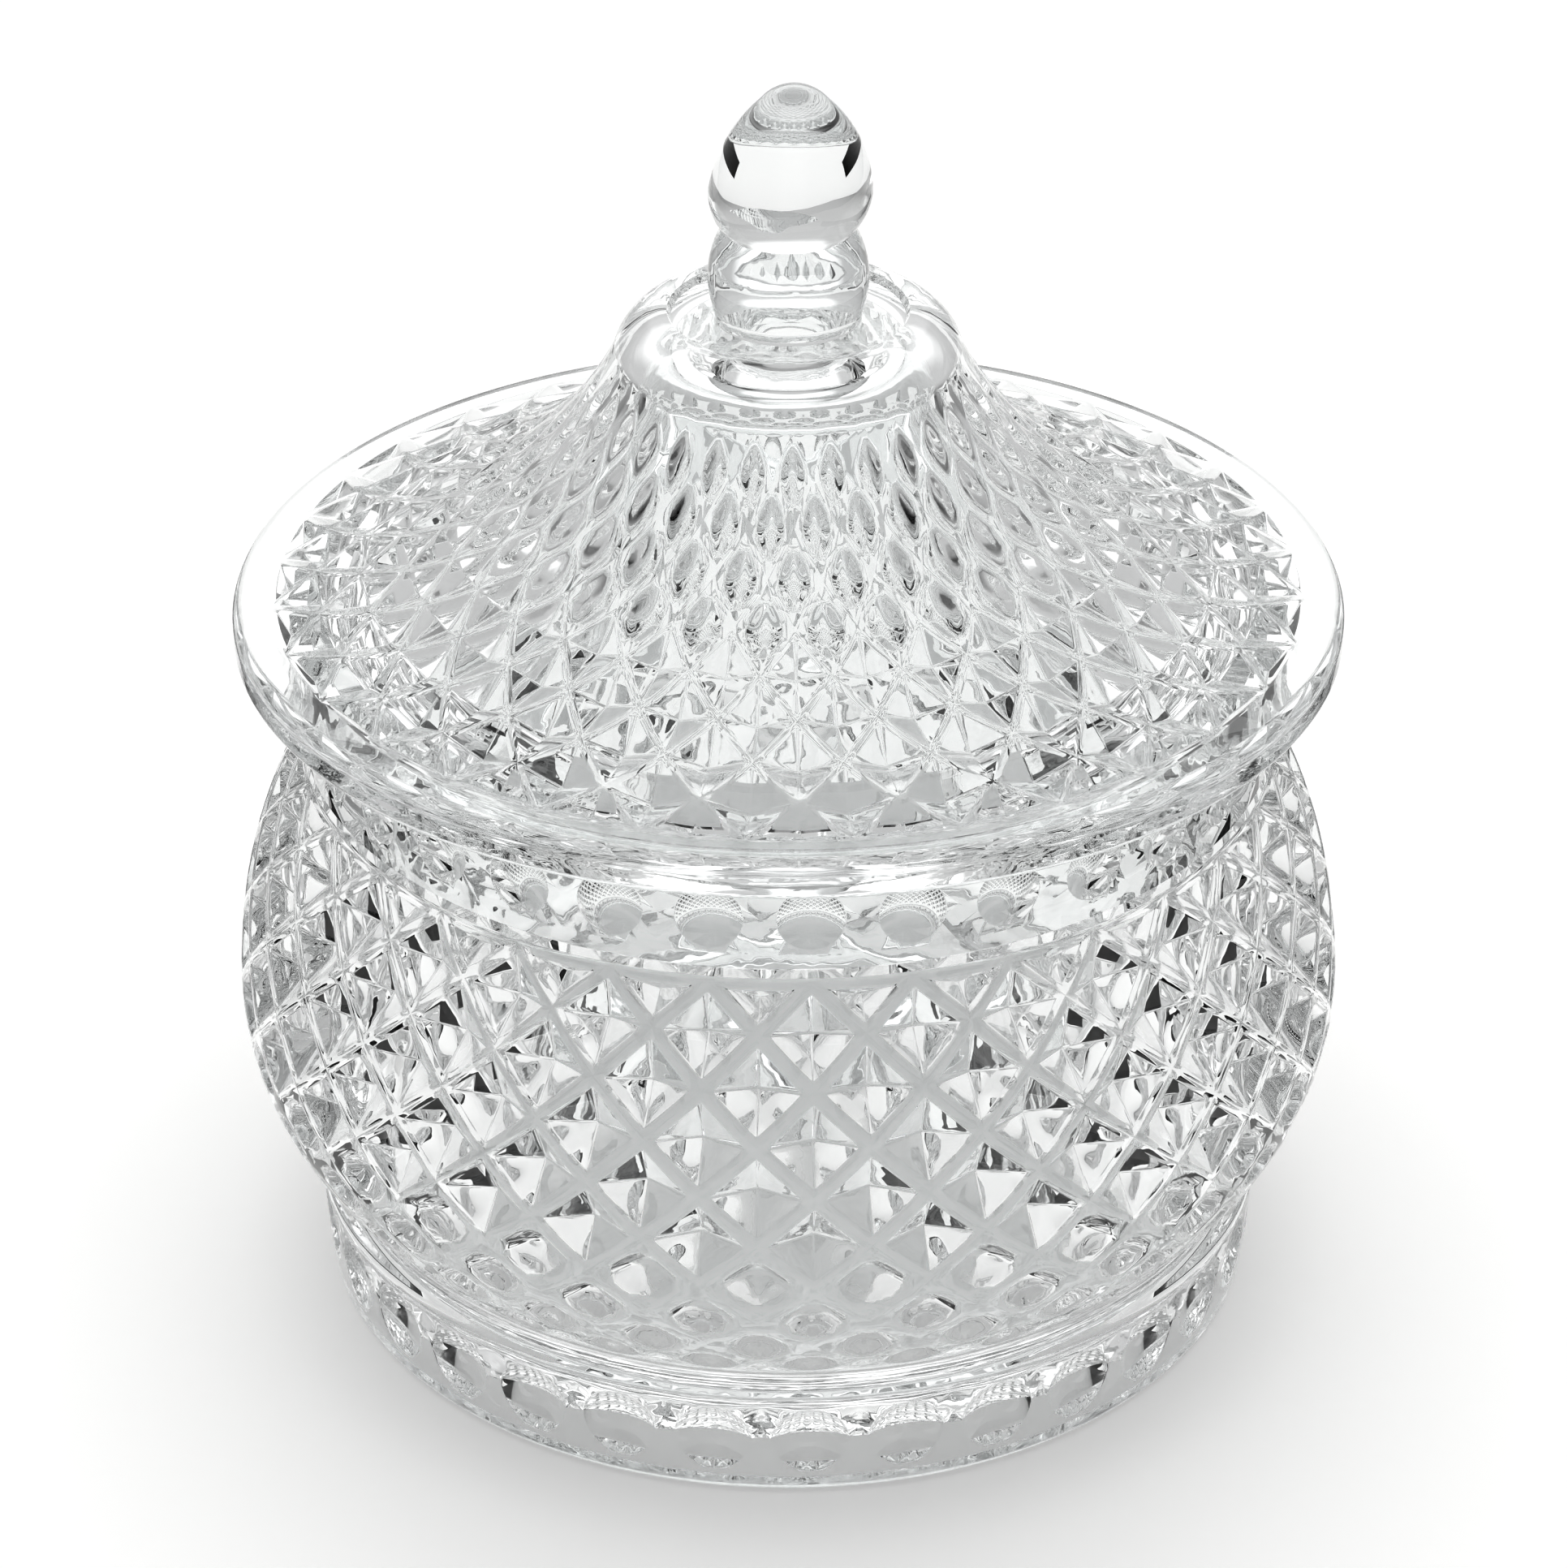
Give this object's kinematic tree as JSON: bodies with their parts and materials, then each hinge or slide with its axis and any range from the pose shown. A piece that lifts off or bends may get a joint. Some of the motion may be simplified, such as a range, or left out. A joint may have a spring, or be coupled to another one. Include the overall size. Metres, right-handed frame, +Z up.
{
  "type": "powder jar",
  "caption": "Round pressed-glass jar with a diamond-cut bowl, a printed foot ring and a loose bell-shaped lid that carries a bud finial.",
  "frame": {"origin": "centre of the foot ring, on the plane the jar stands on", "axes": "+Z up along the jar's axis towards the finial, -Y towards the viewer, +X to the viewer's right"},
  "size_m": [0.1092, 0.1092, 0.1249],
  "materials": {
    "jar_glass": "clear pressed glass, fire polished",
    "lid_glass": "clear pressed glass, fire polished"
  },
  "bodies": {
    "jar": {"jar": "jar_glass"},
    "lid": {"lid": "lid_glass"}
  },
  "joints": [
    {"name": "lid_lift", "type": "slide", "parent": "jar", "child": "lid", "axis": [0, 0, 1], "range_m": [0, 0.09]}
  ]
}
